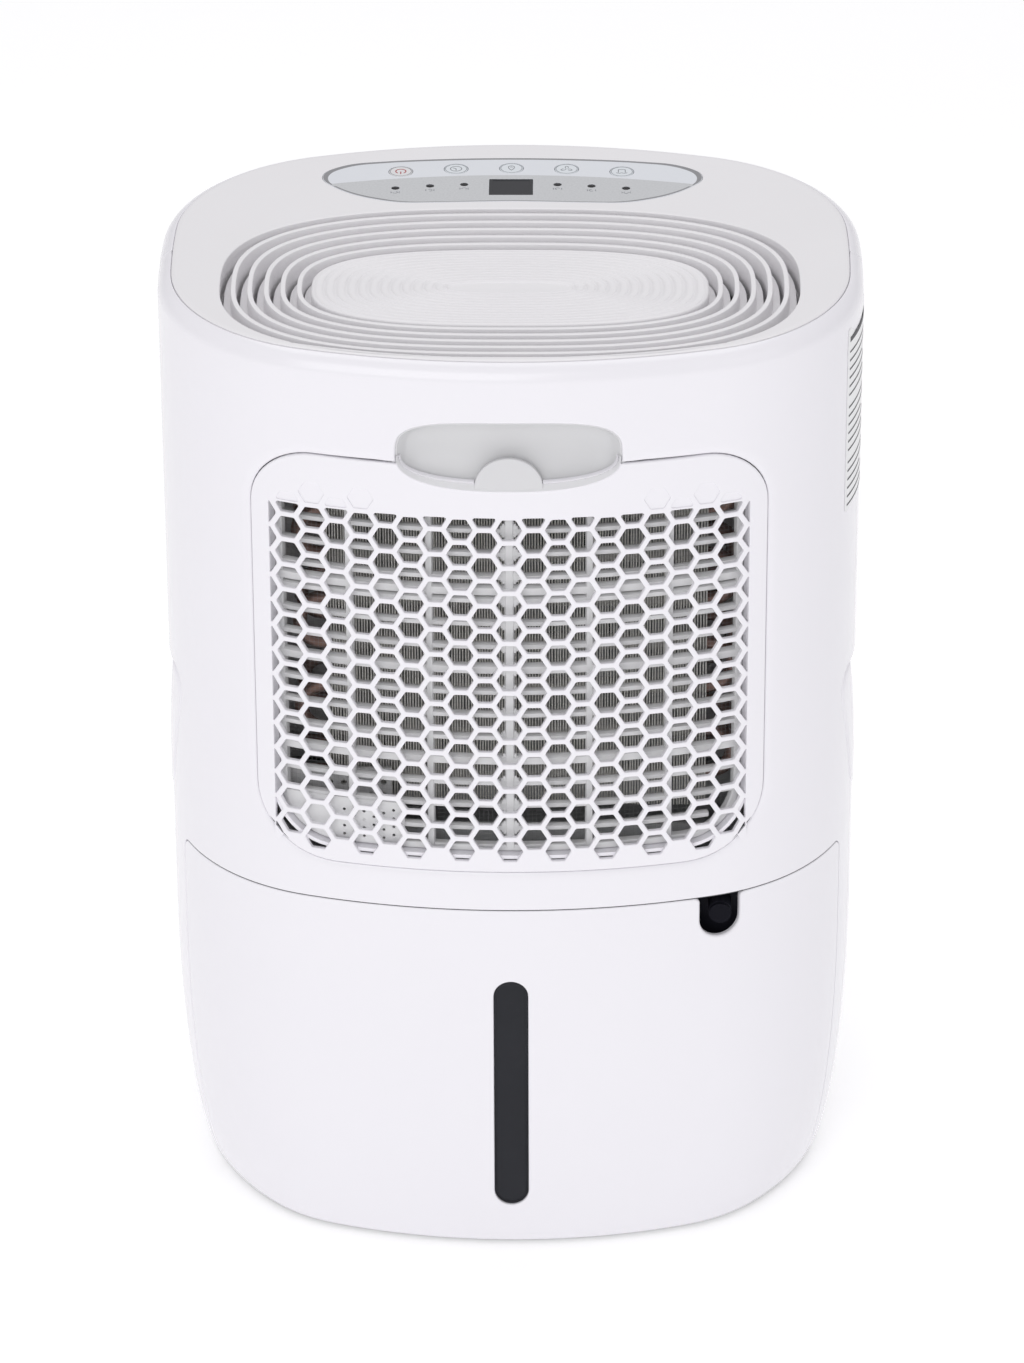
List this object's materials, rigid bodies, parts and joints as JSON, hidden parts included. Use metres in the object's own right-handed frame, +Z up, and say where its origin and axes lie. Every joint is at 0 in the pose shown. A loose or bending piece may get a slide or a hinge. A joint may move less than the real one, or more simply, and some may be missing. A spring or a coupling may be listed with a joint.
{
  "type": "dehumidifier",
  "caption": "Free-standing compressor dehumidifier with a top outlet grille, hexagon intake door, front water tank with a level window, and a touch panel.",
  "frame": {"origin": "on the floor, under the middle of the body's plan", "axes": "+Z up; the intake door and the water tank face -Y; the control panel is read from the +Y side; +X is to the right seen from the intake side"},
  "size_m": [0.34, 0.2602, 0.49],
  "materials": {
    "casing_white": "glossy moulded white",
    "top_white": "satin moulded white",
    "overlay": "printed film, pale blue-grey and grey",
    "smoked": "smoked, glossy",
    "led": "dark lens",
    "key_face": "printed film key",
    "power_key_face": "printed film key with a red symbol",
    "pcb": "solder mask",
    "grey_plastic": "satin moulded grey",
    "filter_plastic": "satin moulded pale grey",
    "filter_net": "fine woven net",
    "fin_dark": "coated fins",
    "fin_bare": "bare fins",
    "copper": "drawn copper tube",
    "black_plastic": "satin black",
    "steel": "zinc plated",
    "painted_black": "satin black paint",
    "painted_grey": "galvanised and painted",
    "rubber": "matte",
    "bucket": "translucent natural plastic",
    "foam": "bead foam",
    "label": "printed film, blank"
  },
  "bodies": {
    "housing": {"intake_casing": "casing_white", "side_skirts": "casing_white", "user_casing": "casing_white", "top_plate": "top_white", "louvre_grille": "top_white", "outlet_duct": "grey_plastic", "control_overlay": "overlay", "display_window": "smoked", "led_lenses": "led", "control_board": "pcb", "pull_recess": "grey_plastic", "side_grips": "grey_plastic", "coil_shroud": "filter_plastic", "evaporator_fins": "fin_dark", "evaporator_tubes": "copper", "condenser_fins": "fin_bare", "condenser_tubes": "copper", "drip_tray": "grey_plastic", "drain_outlet": "black_plastic", "fan_scroll": "grey_plastic", "fan_motor": "steel", "motor_bracket": "steel", "base_pan": "painted_grey", "rubber_feet": "rubber", "compressor": "painted_black", "compressor_grommets": "rubber", "compressor_bolts": "steel", "accumulator": "painted_black", "discharge_pipe": "copper", "suction_pipe": "copper", "capillary_tube": "copper", "filter_drier": "copper", "electronics_box": "grey_plastic", "run_capacitor": "grey_plastic", "humidity_sensor": "grey_plastic", "bay_wall": "grey_plastic", "level_switch": "black_plastic", "casing_screws": "steel", "rating_label": "label", "cord_inlet": "black_plastic"},
    "intake_door": {"filter_door": "casing_white", "filter_frame": "filter_plastic", "filter_mesh": "filter_net"},
    "tank": {"tank_front": "casing_white", "tank_bucket": "bucket", "water_window": "smoked", "float_rod": "bucket"},
    "lid": {"tank_lid": "grey_plastic"},
    "float": {"tank_float": "foam"},
    "fan_rotor": {"blower_wheel": "black_plastic", "motor_shaft": "steel"},
    "power_button": {"power_key": "power_key_face"},
    "timer_button": {"timer_key": "key_face"},
    "humidity_button": {"humidity_key": "key_face"},
    "fan_button": {"fan_key": "key_face"},
    "laundry_button": {"laundry_key": "key_face"},
    "plug": {"drain_plug": "rubber"},
    "lever": {"switch_lever": "steel"}
  },
  "joints": [
    {"name": "tank_slide", "type": "slide", "parent": "housing", "child": "tank", "axis": [0, -1, 0], "range_m": [0, 0.16]},
    {"name": "lid_lift", "type": "slide", "parent": "tank", "child": "lid", "axis": [0, 0, 1], "range_m": [0, 0.028]},
    {"name": "float_rise", "type": "slide", "parent": "tank", "child": "float", "axis": [0, 0, 1], "range_m": [0, 0.096]},
    {"name": "door_tilt", "type": "hinge", "parent": "housing", "child": "intake_door", "pos_m": [0, -0.129, 0.2162], "axis": [1, 0, 0], "range_deg": [0, 35]},
    {"name": "fan_spin", "type": "hinge", "parent": "housing", "child": "fan_rotor", "pos_m": [0, 0, 0.32], "axis": [0, 1, 0], "continuous": true},
    {"name": "power_press", "type": "slide", "parent": "housing", "child": "power_button", "axis": [0, 0, -1], "range_m": [0, 0.0005], "stiffness_N_per_m": 400},
    {"name": "timer_press", "type": "slide", "parent": "housing", "child": "timer_button", "axis": [0, 0, -1], "range_m": [0, 0.0005], "stiffness_N_per_m": 400},
    {"name": "humidity_press", "type": "slide", "parent": "housing", "child": "humidity_button", "axis": [0, 0, -1], "range_m": [0, 0.0005], "stiffness_N_per_m": 400},
    {"name": "fan_press", "type": "slide", "parent": "housing", "child": "fan_button", "axis": [0, 0, -1], "range_m": [0, 0.0005], "stiffness_N_per_m": 400},
    {"name": "laundry_press", "type": "slide", "parent": "housing", "child": "laundry_button", "axis": [0, 0, -1], "range_m": [0, 0.0005], "stiffness_N_per_m": 400},
    {"name": "plug_pull", "type": "slide", "parent": "housing", "child": "plug", "axis": [0, -1, 0], "range_m": [0, 0.03]},
    {"name": "lever_press", "type": "hinge", "parent": "housing", "child": "lever", "pos_m": [-0.1, -0.028, 0.12], "axis": [1, 0, 0], "range_deg": [0, 10], "stiffness_Nm_per_rad": 0.02}
  ]
}
